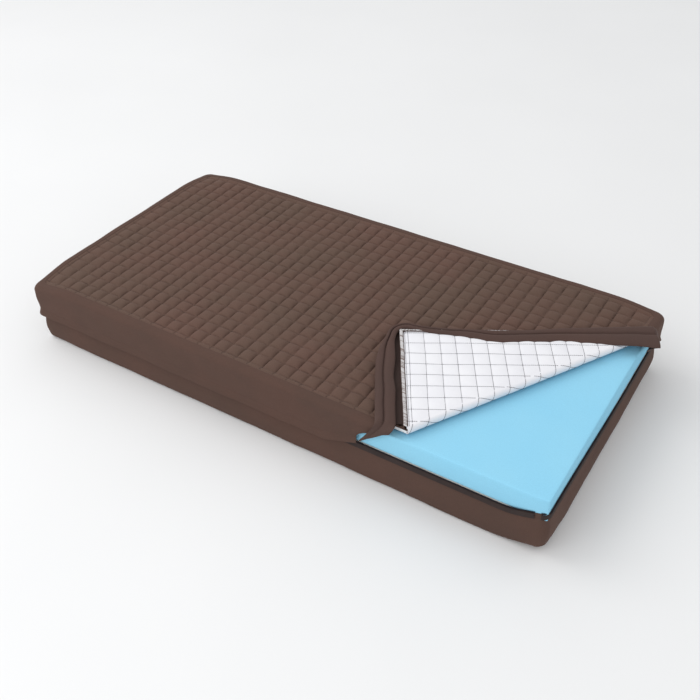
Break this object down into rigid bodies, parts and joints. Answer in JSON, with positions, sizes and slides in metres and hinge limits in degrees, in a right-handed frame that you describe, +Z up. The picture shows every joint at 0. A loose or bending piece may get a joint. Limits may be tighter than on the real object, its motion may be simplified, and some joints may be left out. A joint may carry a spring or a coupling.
{
  "type": "pressure relief mattress",
  "caption": "Cot-size foam mattress in a zip-off quilted cover, one corner of the top unzipped and folded back over the foam.",
  "frame": {"origin": "centre of the underside, where the mattress rests", "axes": "+X along the length, towards the end whose corner is folded back; +Y away from the side that the folded corner is on; +Z up"},
  "size_m": [1.2184, 0.608, 0.1729],
  "materials": {
    "quilt_cloth": "short velvet pile, quilted in a square grid",
    "band_cloth": "short velvet pile, plain",
    "base_cloth": "plain brown cloth",
    "wadding": "soft white fibre",
    "backing_cloth": "thin white non-woven cloth",
    "quilting_thread": "dark grey thread",
    "overlock_thread": "white and brown overlock thread",
    "zip_tape": "woven dark brown tape",
    "zip_coil": "dark brown nylon coil",
    "zip_metal": "dark bronze enamel",
    "comfort_foam": "fine open-cell foam, light blue",
    "support_foam": "open-cell foam, off-white"
  },
  "bodies": {
    "root": {"base_panel": "base_cloth", "lower_band_near": "band_cloth", "lower_band_right": "band_cloth", "lower_band_far": "band_cloth", "lower_band_left": "band_cloth", "base_overlock_seam": "overlock_thread", "support_foam": "support_foam", "comfort_foam": "comfort_foam", "main_face_cloth": "quilt_cloth", "main_wadding": "wadding", "main_backing_cloth": "backing_cloth", "main_quilting_thread": "quilting_thread", "main_overlock_seam": "overlock_thread", "upper_band_near": "band_cloth", "upper_band_right": "band_cloth", "upper_band_far": "band_cloth", "upper_band_left": "band_cloth", "zip_tape_lower": "zip_tape", "zip_coil_lower": "zip_coil", "zip_tape_upper": "zip_tape", "zip_coil_upper": "zip_coil", "zip_start_stop": "zip_metal", "zip_end_stops": "zip_metal"},
    "flap": {"flap_face_cloth": "quilt_cloth", "flap_wadding": "wadding", "flap_backing_cloth": "backing_cloth", "flap_quilting_thread": "quilting_thread", "flap_overlock_long": "overlock_thread", "flap_overlock_short": "overlock_thread", "flap_shoulder_long": "band_cloth", "flap_shoulder_short": "band_cloth"},
    "flap_band_long": {"flap_band_long": "band_cloth"},
    "flap_hem_long": {"flap_hem_long": "band_cloth", "flap_zip_tape_long": "zip_tape", "flap_zip_coil_long": "zip_coil"},
    "flap_band_short": {"flap_band_short": "band_cloth"},
    "flap_hem_short": {"flap_hem_short": "band_cloth", "flap_zip_tape_short": "zip_tape", "flap_zip_coil_short": "zip_coil"},
    "zip_slider": {"zip_slider": "zip_metal"},
    "zip_pull": {"zip_pull": "zip_metal"}
  },
  "joints": [
    {"name": "corner_fold", "type": "hinge", "parent": "root", "child": "flap", "pos_m": [0.312, -0.3, 0.1502], "axis": [0.4903, 0.8716, 0], "range_deg": [0, 178]},
    {"name": "band_fold_long", "type": "hinge", "parent": "flap", "child": "flap_band_long", "pos_m": [0.29931, -0.28092, 0.15411], "axis": [-0.5188, 0.8543, 0.0304], "range_deg": [0, 89]},
    {"name": "hem_fold_long", "type": "hinge", "parent": "flap_band_long", "child": "flap_hem_long", "pos_m": [0.26354, -0.30277, 0.15746], "axis": [0.5188, -0.8543, -0.0304], "range_deg": [0, 178]},
    {"name": "band_fold_short", "type": "hinge", "parent": "flap", "child": "flap_band_short", "pos_m": [0.59702, 0.21124, 0.15348], "axis": [0.8543, 0.5194, -0.0171], "range_deg": [0, 89]},
    {"name": "hem_fold_short", "type": "hinge", "parent": "flap_band_short", "child": "flap_hem_short", "pos_m": [0.58419, 0.23248, 0.15797], "axis": [-0.8543, -0.5194, 0.0171], "range_deg": [0, 178]},
    {"name": "zip_slide", "type": "slide", "parent": "root", "child": "zip_slider", "axis": [1, 0, 0], "range_m": [-0.72, 0.34]},
    {"name": "pull_swing", "type": "hinge", "parent": "zip_slider", "child": "zip_pull", "pos_m": [0.14, -0.2998, 0.0854], "axis": [0, 1, 0], "range_deg": [-80, 80]}
  ],
  "couplings": [
    {"joint": "band_fold_long", "follows": "corner_fold", "ratio": 0.5},
    {"joint": "hem_fold_long", "follows": "corner_fold", "ratio": 1},
    {"joint": "band_fold_short", "follows": "corner_fold", "ratio": 0.5},
    {"joint": "hem_fold_short", "follows": "corner_fold", "ratio": 1}
  ]
}
